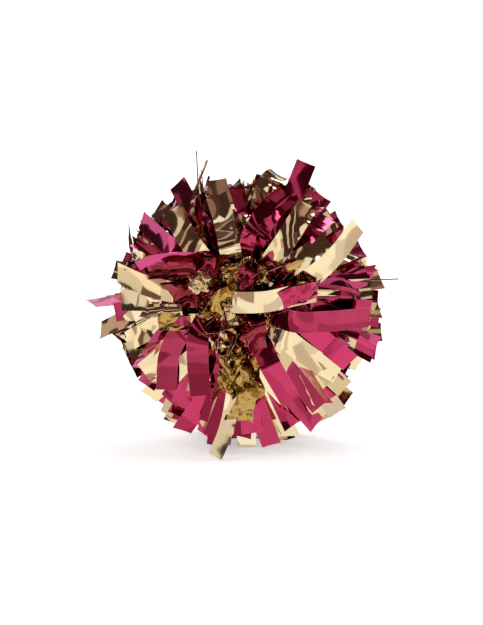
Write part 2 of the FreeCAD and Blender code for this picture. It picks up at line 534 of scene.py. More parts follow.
def smooth_line(stations: Array, folds: tuple[int, ...], samples: int) -> Array:
    """A smooth line through stations: a cubic between each two, whose slope at a station is half
    the step from the one before to the one after. At a fold each side keeps its own slope.

    Args:
        stations: The stations, (n, 3).
        folds: The numbers of the stations where the line folds.
        samples: How many points are made between two stations.

    Returns:
        The line's points.
    """
    step = np.diff(stations, axis=0)
    leave, arrive = np.concatenate([step, step[-1:]]), np.concatenate([step[:1], step])
    mean = (leave + arrive) / 2
    creased = np.isin(np.arange(len(stations)), folds)[:, None]
    leave, arrive = np.where(creased, leave, mean), np.where(creased, arrive, mean)
    t = np.linspace(0.0, 1.0, samples, endpoint=False)[None, :, None]
    p, q = stations[:-1, None], stations[1:, None]
    u, v = leave[:-1, None], arrive[1:, None]
    line = p * (2 * t**3 - 3 * t**2 + 1) + u * (t**3 - 2 * t**2 + t)
    line = line + q * (3 * t**2 - 2 * t**3) + v * (t**3 - t**2)
    return np.concatenate([line.reshape(-1, 3), stations[-1:]])


def cubic(root: Array, near: Array, far: Array, tip: Array) -> Array:
    """Cubic curves on four control points each, weighted (1-t)^3, 3t(1-t)^2, 3t^2(1-t) and t^3.

    Args:
        root: Where each starts, (n, 3).
        near: Each one's second control point.
        far: Its third.
        tip: Where it ends.

    Returns:
        The curves' points, (n, 48, 3).
    """
    t = np.linspace(0, 1, 48)[None, :, None]
    near, far = near[:, None] * 3 * t * (1 - t) ** 2, far[:, None] * 3 * t**2 * (1 - t)
    return root[:, None] * (1 - t) ** 3 + near + far + tip[:, None] * t**3


def cut_to(line: Array, length: float, rows: int) -> tuple[Array, Array]:
    """Points at even distances along a line, which is cut at a length or ends sooner.

    Args:
        line: The line's points, (m, 3).
        length: The longest that it may be.
        rows: How many points to return.

    Returns:
        The points, (rows, 3), and their distances along the line.
    """
    walked = np.concatenate([[0.0], np.cumsum(np.linalg.norm(np.diff(line, axis=0), axis=1))])
    along = np.linspace(0.0, min(length, walked[-1]), rows)
    return np.stack([np.interp(along, walked, line[:, k]) for k in range(3)], axis=-1), along


ROOT_LEAN = 0.25  # how much a streamer's width follows the root's own place round the baton
CREASE_HALF_WIDTHS = (6, 16)  # in millimetres
CREASE_SLANTS = (0.1, 0.015)  # the spread of the slants, and what each crease adds to it
ROOT_CREASE = 1.5  # how much more a crease stands up at the root
ROOT_CREASE_LENGTH = 30 * MM  # how far along that fades
TIP_SLANT = 0.05
SOFT_FLOOR = 1.5 * MM  # how high a streamer stays above the floor when it would sink into it


@dataclass(frozen=True)
class Streamer:
    """One streamer, laid along a line.

    Attributes:
        film: What it is cut from.
        line: Its middle line's points, (m, 3).
        roll: Its turn about that line, in degrees, at the root and at the tip.
        bow: How hollow it is across, as a share of its half width.
        crumple: Height of its creases.
        creases: How many it has.
        shade: Its own number between 0 and 1; a high one gives it the paler colour of painted sheen.
        width: Its width.
        length: The length that it is cut to.
        grid: How many rows and columns its grid has.
    """

    film: Film
    line: Array
    roll: tuple[float, float]
    bow: float
    crumple: float
    creases: int
    shade: float
    width: float
    length: float
    grid: tuple[int, int]

    def surface(self, bunch: Bunch, chance: np.random.Generator) -> tuple[Array, Array]:
        """The streamer's grid.

        Each point is the middle line's, plus the distance across times the width direction, plus
        a rise along the normal. The rise is the bow (a parabola across) plus the creases, each a
        tent over a slanting line. The width direction starts square to the line and to the
        baton, then turns by the roll. The tip is cut at a slant, and the floor holds it up.

        Args:
            bunch: The bunch that it belongs to.
            chance: The source of its creases.

        Returns:
            The points, (rows, columns, 3), and the distance of each row along the streamer.
        """
        rows, columns = self.grid
        middle, along = cut_to(self.line, self.length, rows)
        ahead = unit(np.gradient(middle, axis=0))
        root = unit((middle[0] - [0.0, 0.0, bunch.height]) * [1.0, 0.0, 1.0])
        flat = np.cross(ahead, bunch.outward) + ROOT_LEAN * np.cross(root, bunch.outward)
        flat = unit(flat - (flat * ahead).sum(-1, keepdims=True) * ahead)
        facing = np.cross(flat, ahead)
        share = along / along[-1]
        turn = np.radians(self.roll[0] + (self.roll[1] - self.roll[0]) * share**2 * (3 - 2 * share))[:, None]
        wide = np.cos(turn) * flat + np.sin(turn) * facing
        normal = np.cos(turn) * facing - np.sin(turn) * flat

        across = np.linspace(-1.0, 1.0, columns)[None, :] * self.width / 2
        s = along[:, None]
        rise = self.bow * self.width / 2 * ((2 * across / self.width) ** 2 - 1 / 3)
        for _ in range(self.creases):
            at, spread = chance.uniform(0.1, 1.0) * self.length, chance.uniform(*CREASE_HALF_WIDTHS) * MM
            slant = chance.normal(0, CREASE_SLANTS[0] + CREASE_SLANTS[1] * self.creases)
            height = self.crumple * chance.normal() * (1 + ROOT_CREASE * math.exp(-at / ROOT_CREASE_LENGTH))
            rise = rise + height * np.maximum(0.0, 1 - np.abs(s + across * slant - at) / spread)
        slip = across * chance.normal(0, TIP_SLANT) * share[:, None] ** 6
        points = (
            middle[:, None]
            + across[..., None] * wide[:, None]
            + rise[..., None] * normal[:, None]
            + slip[..., None] * ahead[:, None]
        )
        points[..., 2] = (points[..., 2] + np.sqrt(points[..., 2] ** 2 + SOFT_FLOOR**2)) / 2
        return points, along


# ---------------------------------------------------------------------------------------------
# Sub-assemblies
# ---------------------------------------------------------------------------------------------


BINDING_PLACES = ((15.5, 61.0), (22.5, 78.0))  # reach and advance, in millimetres, up to the throat
LAID_GRID = (80, 9)  # rows and columns


@dataclass(frozen=True)
class Laid:
    """A streamer laid along listed stations.

    Attributes:
        film: What it is cut from.
        stations: Clock in degrees, reach in millimetres and advance in millimetres of the places
            that it passes, from where it leaves the throat to its tip.
        roll: Its turn about its own line, in degrees, at the root and at the tip.
        bow: How hollow it is across.
        crumple: Height of its creases in millimetres.
        creases: How many it has.
        painted_sheen: Whether it gets the paler colour of painted sheen.
        width: Its width in millimetres.
        folds: The numbers of the stations where it is folded.
    """

    film: Film
    stations: tuple[tuple[float, float, float], ...]
    roll: tuple[float, float] = (0.0, 0.0)
    bow: float = 0.10
    crumple: float = 0.5
    width: float = 19.0
    folds: tuple[int, ...] = ()
    creases: int = 6
    painted_sheen: bool = False

    def streamer(self, bunch: Bunch, length: float, film: Film, shade: float, shift: Array) -> Streamer:
        """Lays it in a bunch.

        Args:
            bunch: The bunch that it belongs to.
            length: The length that it is cut to.
            film: What it is cut from.
            shade: Its own number between 0 and 1, if it gets no painted sheen.
            shift: How far its clock, reach and advance are moved, in degrees and millimetres.

        Returns:
            The streamer.
        """
        clock = self.stations[0][0]
        stations = np.array([*((clock, *place) for place in BINDING_PLACES), *self.stations])
        stations[len(BINDING_PLACES) + 1 :] += shift
        places = bunch.place(stations[:, 0], stations[:, 1] * MM, stations[:, 2] * MM)
        line = smooth_line(places, tuple(f + len(BINDING_PLACES) for f in self.folds), samples=24)
        # A listed streamer gets painted sheen only where it is marked; the factor 0.8 keeps the others'
        # numbers below the sheen range.
        shade = PAINTED_SHEEN_NUMBER if self.painted_sheen else 0.8 * shade
        crumple, width, creases = self.crumple * MM, self.width * MM, self.creases
        return Streamer(film, line, self.roll, self.bow, crumple, creases, shade, width, length, LAID_GRID)


G, P = Film.GOLD, Film.PINK

# Some entries are marked to get the paler colour of painted sheen.
LAID = (
    # across the middle
    Laid(
        G, ((246, 20, 92), (214, 13, 107), (118, 22, 113), (98, 42, 110), (91, 66, 100)),
        (-12, -14), 0.05, 0.09,
    ),
    Laid(
        P, ((124, 24, 90), (110, 32, 109), (98, 44, 113), (91, 60, 108), (89, 68, 100)),
        (-14, -22), 0.15, 0.9, 16, (), 14,
    ),
    Laid(
        G, ((300, 16, 90), (325, 20, 106), (15, 23, 110), (50, 22, 104), (70, 18, 92)),
        (50, 80), 0.5, 2, 12, (), 40,
    ),
    Laid(
        G, ((285, 20, 92), (272, 10, 107), (245, 22, 111), (232, 34, 106), (230, 42, 96)),
        (10, 30), 0.4, 2, 16, (), 40,
    ),
    Laid(G, ((246, 22, 90), (240, 40, 103), (243, 60, 102), (248, 78, 90)), (10, -20), 0.3, 2.2, 15, (), 40),
    Laid(P, ((262, 24, 90), (262, 40, 104), (266, 56, 104), (268, 70, 94)), (-20, 20), 0.4, 2, 19, (), 30),
    Laid(G, ((250, 26, 88), (254, 50, 98), (258, 74, 92), (260, 92, 78)), (10, -20), 0.3, 1.6),
    Laid(P, ((150, 20, 92), (160, 33, 108), (164, 46, 106), (166, 60, 96)), (0, 20), 0.3, 1.6, 18, (), 30),
    # right
    Laid(G, ((88, 26, 88), (82, 56, 98), (70, 88, 97), (61, 119, 90)), (-6, -30), 0.06, 0.14),
    Laid(P, ((128, 24, 88), (122, 52, 102), (110, 82, 95), (102, 120, 72)), (0, -8), 0.05, 0.14),
    Laid(G, ((124, 26, 84), (121, 62, 86), (118, 122, 48)), (10, 24), 0.1, 0.18),
    Laid(P, ((121, 24, 82), (120, 70, 80), (121, 112, 56)), (0, -20), 0.1, 0.23),
    Laid(G, ((140, 24, 88), (138, 56, 98), (134, 90, 84), (131, 120, 62)), (0, 0), 0.08, 0.14),
    Laid(P, ((112, 24, 80), (114, 80, 66), (116, 143, 32)), (0, 18), 0.1, 0.23),
    Laid(P, ((165, 22, 86), (161, 38, 92), (159, 72, 104), (156, 110, 88)), (0, 0), 0.08, 0.14, 19, (2,)),
    Laid(G, ((172, 24, 84), (170, 62, 88), (166, 126, 58)), (0, -6), 0.05, 0.18, 22),
    Laid(G, ((148, 24, 82), (152, 62, 88), (146, 114, 58)), (0, 8), 0.07, 0.23),
    # crushed leaves below the middle, whose many creases give them the full painted shade
    Laid(
        G, ((196, 22, 86), (191, 42, 97), (190, 66, 101), (190, 88, 99), (191, 104, 92)),
        (20, -10), 0.3, 3.4, 17, (), 90,
    ),
    Laid(
        G, ((176, 24, 84), (176, 56, 94), (178, 84, 99), (180, 106, 98), (181, 120, 90)),
        (8, 22), 0.45, 3.0, 25, (), 90,
    ),
    # fringe
    Laid(P, ((154, 24, 78), (156, 92, 76), (151, 146, 56)), (0, 24), 0.07, 0.23),
    Laid(G, ((164, 24, 76), (164, 92, 70), (161, 149, 44)), (0, -34), 0.1, 0.27),
    Laid(P, ((172, 24, 76), (174, 92, 76), (169, 149, 58)), (0, -14), 0.07, 0.18),
    Laid(P, ((196, 24, 78), (198, 94, 78), (203, 143, 62)), (0, 20), 0.07, 0.23),
    # lower left
    Laid(
        P, ((240, 24, 84), (230, 42, 100), (222, 57, 106), (210, 77, 103), (201, 102, 90)),
        (0, 6), 0.05, 0.09,
    ),
    Laid(P, ((205, 24, 78), (203, 60, 86), (197, 100, 76), (191, 141, 46)), (0, 0), 0.05, 0.18),
    Laid(G, ((183, 24, 78), (184, 84, 83), (186, 124, 85), (189, 153, 87)), (0, -16), 0.05, 0.18, 14),
    Laid(P, ((240, 24, 86), (236, 62, 96), (228, 88, 86), (217, 117, 62)), (0, 10), 0.06, 0.18),
    Laid(P, ((246, 24, 84), (241, 70, 90), (236, 95, 74), (232, 121, 50)), (10, 38), 0.07, 0.18, painted_sheen=True),
    Laid(G, ((214, 24, 76), (213, 88, 68), (210, 142, 32)), (0, -8), 0.07, 0.23),
    Laid(G, ((216, 24, 78), (219, 92, 72), (221, 137, 36)), (0, 12), 0.07, 0.23),
    Laid(G, ((244, 24, 84), (242, 72, 86), (236, 112, 60)), (-10, -30), 0.1, 0.27),
    Laid(G, ((250, 24, 82), (248, 74, 82), (243, 118, 52)), (0, 10), 0.1, 0.27),
    # left
    Laid(G, ((262, 24, 80), (261, 70, 76), (257, 105, 58), (254, 142, 34)), (-10, -34), 0.05, 0.18),
    Laid(P, ((268, 24, 78), (266, 90, 62), (265, 146, 38)), (0, 66), 0.07, 0.18, painted_sheen=True),
    Laid(G, ((262, 26, 88), (268, 58, 100), (273, 87, 90), (278, 116, 66)), (4, 16), 0.06, 0.14),
    Laid(G, ((258, 26, 86), (262, 66, 92), (265, 112, 62)), (10, -2), 0.05, 0.18),
    Laid(
        P, ((330, 20, 92), (318, 26, 104), (297, 44, 107), (286, 68, 104), (282, 86, 94)),
        (0, 10), 0.6, 1.6, 17, (), 26,
    ),
    Laid(
        P, ((322, 24, 92), (312, 40, 108), (300, 58, 110), (289, 82, 104), (283, 95, 96)),
        (20, 35), 0.1, 0.3, 9, painted_sheen=True,
    ),
    Laid(G, ((288, 26, 80), (286, 86, 74), (290, 108, 54), (298, 124, 32)), (0, 62), 0.07, 0.23),
    Laid(P, ((292, 26, 82), (292, 70, 84), (296, 108, 56)), (0, -20), 0.15, 0.36),
    Laid(P, ((300, 26, 84), (301, 72, 86), (305, 114, 60)), (10, 34), 0.05, 0.3, painted_sheen=True),
    # top
    Laid(G, ((305, 24, 88), (309, 46, 103), (315, 72, 100), (320, 96, 84)), (-4, 6), 0.07, 0.27),
    Laid(G, ((340, 22, 90), (344, 36, 104), (346, 62, 100), (345, 88, 84)), (0, 4), 0.12, 0.27),
    Laid(G, ((352, 24, 84), (348, 70, 86), (347, 105, 62)), (0, -10), 0.07, 0.27),
    Laid(G, ((336, 26, 80), (337, 80, 78), (339, 114, 50)), (30, 74), 0.15, 0.27),
    Laid(P, ((328, 26, 78), (328, 80, 74), (329, 118, 48)), (0, 20), 0.05, 0.2, painted_sheen=True),
    Laid(P, ((358, 24, 84), (357, 60, 88), (356, 93, 68)), (0, 0), 0.1, 0.32),
    Laid(P, ((14, 26, 78), (13, 70, 74), (12, 111, 46)), (0, 0), 0.05, 0.18),
    Laid(G, ((20, 26, 76), (21, 80, 62), (22, 106, 56)), (0, 20), 0.3, 1.6),
    Laid(P, ((30, 26, 76), (29, 90, 65), (27, 134, 54)), (0, -6), 0.05, 0.18),
    Laid(P, ((12, 24, 88), (14, 50, 100), (20, 76, 92), (26, 98, 76)), (0, 8), 0.15, 0.32, 22),
    Laid(P, ((22, 24, 86), (26, 52, 96), (30, 80, 86), (34, 98, 72)), (0, -8), 0.15, 0.32, 20),
    Laid(G, ((52, 24, 88), (47, 34, 98), (42, 57, 105), (39, 82, 98), (38, 96, 86)), (6, 0), 0.2, 0.23),
    Laid(P, ((52, 26, 84), (50, 70, 88), (49, 105, 60)), (0, 24), 0.1, 0.23),
    Laid(P, ((42, 26, 74), (42, 80, 62), (41, 120, 34)), (0, 6), 0.1, 0.23),
    Laid(P, ((35, 26, 72), (35, 80, 58), (34, 118, 30)), (0, -10), 0.1, 0.23),
    Laid(G, ((66, 24, 88), (65, 44, 98), (62, 66, 95), (60, 90, 84)), (10, 20), 0.12, 0.32),
    Laid(P, ((72, 26, 76), (72, 80, 64), (71, 123, 36)), (0, 14), 0.1, 0.23, painted_sheen=True),
    Laid(P, ((84, 26, 78), (84, 80, 66), (83, 129, 34)), (0, -26), 0.1, 0.23),
    Laid(G, ((88, 26, 74), (87, 90, 56), (86, 137, 28)), (0, 26), 0.07, 0.23),
    Laid(G, ((100, 26, 72), (99, 90, 54), (98, 137, 26)), (0, 30), 0.07, 0.23),
    Laid(G, ((96, 26, 80), (95, 70, 76), (95, 119, 52)), (20, 60), 0.1, 0.23, 9),
    Laid(G, ((93, 26, 82), (92, 70, 80), (91, 110, 60)), (0, -24), 0.05, 0.2, 6),
    Laid(P, ((98, 26, 80), (98, 72, 78), (97, 116, 52)), (0, 24), 0.05, 0.2, 16),
    # slivers
    Laid(G, ((326, 26, 78), (333, 80, 74), (342, 138, 52)), (20, 50), 0, 0.05, 1.6),
    Laid(G, ((318, 26, 78), (328, 84, 76), (345, 125, 60)), (0, 50), 0, 0.05, 4),
    Laid(G, ((84, 26, 74), (85, 90, 60), (86, 152, 38)), (20, 50), 0, 0.05, 1.6),
)


@dataclass(frozen=True)
class Cut:
    """What the film of one kind of streamer laid by chance is like.

    Attributes:
        golden: The share that is gold.
        bow: The least and most hollow across.
        crumple: The least and most height of the creases, in millimetres.
        creases: How many creases each has.
        grid: How many rows and columns each has.
    """

    golden: float
    bow: tuple[float, float]
    crumple: tuple[float, float]
    creases: int
    grid: tuple[int, int]


LOOSE = Cut(golden=0.5, bow=(0.0, 0.14), crumple=(0.2, 0.9), creases=6, grid=(22, 4))
CRUSHED = Cut(golden=0.38, bow=(0.2, 0.7), crumple=(0.8, 1.6), creases=18, grid=(40, 6))


@dataclass(frozen=True)
class Habit:
    """How the streamers of one kind lie: those that make the ball, or those that flop over.

    Attributes:
        least: The least share of the full reach that one has.
        limit: The furthest reach, in millimetres.
        back: How far towards the other bunch a tip strays, in millimetres.
        end: Lean at the tip of one that spreads sideways, in degrees.
        lead: A factor on how far it keeps its first heading.
        trail: A factor on how far it keeps its last heading.
    """

    least: float
    limit: float
    back: float
    end: float
    lead: float
    trail: float


BALL = Habit(least=0.80, limit=200, back=0, end=112, lead=1.0, trail=1.0)
FLOP = Habit(least=0.90, limit=118, back=7, end=168, lead=2.0, trail=1.15)

# Swing, reach and advance of the later control points of a crushed streamer, in millimetres
THROAT = (
    (0.0, (16, 24), (88, 104)),
    (1.0, (36, 52), (96, 108)),
    (1.5, (46, 72), (78, 94)),
)
GOLDEN_RATIO = 0.618034
TWISTED = 0.16  # the share whose tips turn far about their own line
SPLIT = 50  # lean of the line between inner and outer streamers, in degrees, as in the CAD model
BLEND = ((16, 62), (38, 80))  # reach and advance, in millimetres, of two places in each tuft; build() works them out, but nothing bends the pieces
CRUSHED_FROM, CRUSHED_BY = 10, 20  # the creases that leave a streamer without painted shade, and how many more bring the full painted shade


@dataclass
class Bouquet:
    """All the streamers of one bunch: the listed ones, and the many behind them.

    Attributes:
        bunch: The bunch.
        film: The film materials.
        seed: Seed of everything that varies by chance.
        exchanged: Whether gold and pink change places among the listed streamers.
        loosened: How far those stray, in degrees of the clock and in millimetres.
        length: The length that each streamer is cut to, from the binding to the tip.
        width: Width of the streamers laid by chance.
        per_tuft: How many streamers are laid by chance in each tuft.
        flopped: How many of each tuft's flop over, back towards the other bunch.
        crushed: How many short crushed ones fill the throat beside each tuft.
        ball: How far the outermost tips reach, in millimetres, by clock angle from the top.
        sag: How far a sideways tip drops.
    """

    bunch: Bunch
    film: dict[Film, bpy.types.Material]
    seed: int
    exchanged: bool
    loosened: float
    length: float = 160 * MM
    width: float = 19 * MM
    per_tuft: int = 34
    flopped: int = 18
    crushed: int = 7
    ball: tuple[tuple[float, float], ...] = (
        (0, 104), (20, 113), (45, 121), (65, 127), (90, 138), (118, 147), (150, 158), (180, 163),
        (200, 152), (221, 137), (240, 134), (265, 133), (300, 121), (330, 113), (360, 104),
    )
    sag: float = 6 * MM

    def fan(self, chance: np.random.Generator, depth: Array, habit: Habit) -> list[Streamer]:
        """Streamers laid by chance, evenly all round.

        Each is a cubic curve from the binding, whose second and third control points lie
        along its heading at the binding and at the tip. The share "depth" runs from 0, a
        streamer at the back that spreads sideways, to 1, one in front that arches forward.

        Args:
            chance: The source of their places.
            depth: The depth of each.
            habit: How they lie.

        Returns:
            The streamers.
        """
        bunch, count = self.bunch, len(depth)
        clock = (np.arange(count) * 360.0 / count + chance.uniform(-4, 4, count)) % 360
        swing = chance.normal(0, 7, count)
        known = np.array(self.ball)
        full = np.interp((clock + swing) % 360, known[:, 0], known[:, 1]) * MM
        # One in front reaches less far, ends further forward, and leaves the binding more along it
        reach = full * (1 - 0.18 * depth) * chance.uniform(habit.least, 1.05, count)
        reach = np.minimum(reach, habit.limit * MM)
        advance = (5 + 67 * depth + chance.uniform(-3, 3, count) - habit.back * chance.random(count)) * MM
        start = np.radians(82 - 44 * depth)
        end = np.radians(habit.end - 14 * depth + chance.normal(0, 8, count))
        lead = chance.uniform(36, 54, count) * MM * habit.lead
        trail = chance.uniform(34, 56, count) * MM * habit.trail

        root = bunch.place(clock, (14 + 2 * depth) * MM, (61 + 3 * depth) * MM)
        tip = bunch.place(clock + swing, reach, advance)
        tip[:, 2] -= self.sag * np.abs(np.sin(np.radians(clock)))
        near = root + self.heading(clock, start) * lead[:, None]
        far = tip - self.heading(clock + swing * 1.6, end) * trail[:, None]
        twist = np.where(chance.random(count) < TWISTED, 60, 20)
        roll = chance.normal(0, 1, (count, 2)) * np.stack([np.full(count, 10), twist], -1)
        return self.cut(chance, cubic(root, near, far, tip), roll, LOOSE)

    def cut(self, chance: np.random.Generator, lines: Array, roll: Array, cut: Cut) -> list[Streamer]:
        """Cuts a streamer for each line, from a film picked by chance.

        Args:
            chance: The source of the films, bows and crumples.
            lines: The lines, (n, m, 3).
            roll: Each one's turn at its root and its tip, (n, 2).
            cut: What they are like.

        Returns:
            The streamers.
        """
        return [
            Streamer(
                Film.GOLD if chance.random() < cut.golden else Film.PINK, line, tuple(map(float, turn)),
                chance.uniform(*cut.bow), chance.uniform(*cut.crumple) * MM, cut.creases, chance.random(),
                self.width, self.length, cut.grid,
            )
            for line, turn in zip(lines, roll)
        ]

    def behind(self, chance: np.random.Generator) -> list[Streamer]:
        """The streamers that make the ball, and those that flop over the parting between the bunches.

        Args:
            chance: The source of their places.

        Returns:
            The streamers.
        """
        count, over = self.per_tuft * self.bunch.tufts, self.flopped * self.bunch.tufts
        spread = ((np.arange(count) * GOLDEN_RATIO) % 1.0) ** 1.25
        depth = np.clip(spread + chance.normal(0, 0.03, count), 0, 1)
        ball = self.fan(chance, depth, BALL)
        return ball + self.fan(chance, chance.uniform(0.0, 0.16, over), FLOP)

    def throat(self, chance: np.random.Generator) -> list[Streamer]:
        """The crushed streamers round the mouth: cubic curves that rise out of it and flop over.

        Args:
            chance: The source of their places.

        Returns:
            The streamers.
        """
        count = self.crushed * self.bunch.tufts
        clock = np.arange(count) * 360.0 / count + chance.uniform(-5, 5, count)
        swing = chance.normal(0, 18, count)
        stations = [self.bunch.place(clock, chance.uniform(17, 21, count) * MM, np.full(count, 74 * MM))]
        for share, reach, advance in THROAT:
            reach, advance = chance.uniform(*reach, count) * MM, chance.uniform(*advance, count) * MM
            stations.append(self.bunch.place(clock + swing * share, reach, advance))
        roll = chance.normal(0, 35, (count, 2))
        return self.cut(chance, cubic(*stations), roll, CRUSHED)

    def heading(self, clock: Array, lean: Array) -> Array:
        """Directions: outward times the cosine of the lean in radians, plus the spoke times its sine."""
        return self.bunch.spoke(clock) * np.sin(lean)[:, None] + self.bunch.outward * np.cos(lean)[:, None]

    def laid(self, chance: np.random.Generator) -> list[Streamer]:
        """The listed streamers.

        Args:
            chance: The source of their shades, and of how they stray.

        Returns:
            The streamers.
        """
        other = {Film.GOLD: Film.PINK, Film.PINK: Film.GOLD}
        return [
            laid.streamer(
                self.bunch,
                self.length,
                other[laid.film] if self.exchanged else laid.film,
                float(chance.random()),
                chance.normal(0, 1, 3) * self.loosened,
            )
            for laid in LAID
        ]

    def build(self) -> None:
        """Makes one piece for each tuft, layer and film.

        A streamer belongs to the tuft at the clock angle of its own middle, and to the inner
        layer if its middle lies further forward than the line that divides the CAD solids. Its
        flat length is what its surface needs, creases and all, up to the length that it is cut to.
        """
        chance = np.random.default_rng(self.seed)
        groups: dict[tuple[int, Layer, Film], Grids] = {}
        cuts: dict[tuple[int, Layer, Film], list[tuple[float, float]]] = {}
        for streamer in self.laid(chance) + self.behind(chance) + self.throat(chance):
            points, along = streamer.surface(self.bunch, chance)
            centre = points[len(points) * 2 // 3].mean(axis=0) - [0.0, 0.0, self.bunch.height]
            clock = math.degrees(math.atan2(centre[0], centre[2])) % 360
            reach, advance = math.hypot(centre[0], centre[2]), abs(centre[1])
            layer = Layer.INNER if math.degrees(math.atan2(reach, advance)) < SPLIT else Layer.OUTER
            key = (self.bunch.tuft_at(clock), layer, streamer.film)
            # How crushed it is deepens both its crease relief and its painted shade.
            crush_and_painted_shade = min(1.0, max(0.0, (streamer.creases - CRUSHED_FROM) / CRUSHED_BY))
            groups.setdefault(key, Grids()).add(points, along, streamer.shade, crush_and_painted_shade)
            cut = min(self.length, max(along[-1], area_of(points) / streamer.width))
            cuts.setdefault(key, []).append((streamer.width, cut))

        for key in sorted(groups, key=lambda k: (k[0], k[1].value, k[2].value)):
            tuft, layer, film = key
            node = f"{self.bunch.name}_streamers_{tuft}_{layer.value}"
            piece = film_piece(groups[key], f"{node}_{film.name.lower()}", self.film[film])
            clock = (tuft - 1) * 360.0 / self.bunch.tufts
            start, end = (tuple(self.bunch.place(clock, *np.array(place) * MM)) for place in BLEND)
            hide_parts(node)
            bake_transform(piece)
            sizes = np.array(cuts[key])
            flat, area = (float(sizes[:, 0].sum()), self.length), float(sizes.prod(axis=1).sum())
            log.info("%s: %d streamers", piece.name, len(sizes))


def film_piece(
    grids: Grids, name: str, material: bpy.types.Material, closed: bool = False
) -> bpy.types.Object:
    """Makes patches of film one piece, with its material and slot.

    Args:
        grids: The patches.
        name: The piece's name.
        material: That film's material.
        closed: Whether each patch's last column meets its first.

    Returns:
        The piece.
    """
    piece = grids.mesh(name, FILM_THICKNESS, closed)
    piece.data.materials.append(material)
    return piece


def bind(piece: bpy.types.Object, area: float) -> None:
    """Fixes a gathered piece of film to the baton, and says how large a strip it was.

    Args:
        piece: The piece.
        area: The film's area.
    """
    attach(piece, "baton")
    log.info("%s: %.0f square centimetres", piece.name, area * 1e4)


NECK_START, FLANGE, NECK_MOUTH = 53.6 * MM, 75 * MM, 85 * MM  # places along the baton, from its middle


@dataclass(frozen=True)
class Header:
    """The uncut band of one film, wound round the neck of the spool and gathered into a mouth.

    Attributes:
        film: What it is made of.
        turns: How many times the mouth's roll goes round.
        core: Radius of the roll's innermost turn.
        phase: Where the roll starts, in turns.
        mouth: How far forward the roll's edge comes.
        wrap: Radius of the band round the neck.
        pitch: How much further out each turn lies.
        pleats: How many pleats a turn has, in each of the waves that are added up.
    """

    film: Film
    turns: float
    core: float
    phase: float
    mouth: float
    wrap: float
    pitch: float = 4.8 * MM
    pleats: tuple[float, ...] = (5.2, 8.7, 13.1)

    def roll(self, bunch: Bunch, chance: np.random.Generator) -> tuple[Array, Array]:
        """The gathered mouth.

        It is a spiral whose radius grows by the pitch each turn and flares with the square of
        the distance forward. Pleats, waves round the roll that grow towards its edge, are folded
        sharp by taking their distance from the nearest crest.

        Args:
            bunch: The bunch that it holds.
            chance: The source of its pleats.

        Returns:
            The points, (rows, columns, 3), and how far forward each row is, from 0 to 1.
        """
        share = np.linspace(0.0, 1.0, 20)[:, None]
        turn = np.linspace(0.0, self.turns, 260)[None, :]
        edge = self.mouth + 2.6 * MM * np.sin(2 * np.pi * 1.7 * turn + 1)
        edge = edge + 1.2 * MM * np.sin(2 * np.pi * 5.3 * turn)
        pleats = 0.0
        for rate in self.pleats:
            height = chance.uniform(0.3, 1.0)
            wave = turn * rate + chance.random() + 0.35 * share * chance.normal()
            pleats = pleats + height * np.abs((wave % 1.0) - 0.5)
        flare = 2.4 * MM * share**2 + 2.6 * MM * (pleats - 0.5) * (0.25 + 0.75 * share)
        advance = FLANGE + (edge - FLANGE) * share
        reach = self.core + self.pitch * turn + flare
        return bunch.place((turn + self.phase) * 360 + 0 * share, reach, advance), share[:, 0]

    def band(self, bunch: Bunch) -> tuple[Array, Array]:
        """The band round the neck: a pleated tube that climbs the flange and opens into the mouth.

        Args:
            bunch: The bunch that it holds.

        Returns:
            The points, (rows, columns, 3), and how far forward each row is, from 0 to 1.
        """
        share = np.linspace(0.0, 1.0, 14)[:, None]
        turn = np.linspace(0.0, 1.0, 121)[None, :]
        climb = np.interp(share, [0.0, 0.42, 0.66, 1.0], [0.0, 0.0, 3.6 * MM, 4.4 * MM])
        pleat = 0.35 * MM * np.abs(((turn * 21) % 1.0) - 0.5)
        pleat = pleat + 0.5 * MM * share**2 * np.sin(2 * np.pi * turn * 9)
        advance = NECK_START + (NECK_MOUTH - NECK_START) * share
        return bunch.place(turn * 360 + 0 * share, self.wrap + climb + pleat, advance), share[:, 0]

    def build(self, bunch: Bunch, material: bpy.types.Material, seed: int) -> None:
        """Makes the header.

        Args:
            bunch: The bunch that it holds.
            material: Its material.
            seed: Seed of its creases.
        """
        grids = Grids()
        points, share = self.roll(bunch, np.random.default_rng(seed))
        # The mouth's roll and the band get painted shade, the roll more, for the shade inside the throat.
        grids.add(points, share * 20 * MM, shade=0.3, crush_and_painted_shade=0.6)
        points, share = self.band(bunch)
        grids.add(points, share * 30 * MM, shade=0.6, crush_and_painted_shade=0.4)
        film = self.film.name.lower()
        piece = film_piece(grids, f"{bunch.name}_header_{film}", material)
        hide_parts(f"{bunch.name}_{film}_header")
        bind(piece, grids.area())


HEADERS = (
    Header(G, turns=3.4, core=1.2 * MM, phase=0.0, mouth=96 * MM, wrap=12.4 * MM),
    Header(P, turns=3.3, core=2.6 * MM, phase=0.35, mouth=93 * MM, wrap=16.0 * MM),
)


FOLDS = ((2.0, 0.34), (3.1, 0.26), (4.7, 0.18), (7.3, 0.11), (11.0, 0.06)) * 2  # a wad's: rate and depth


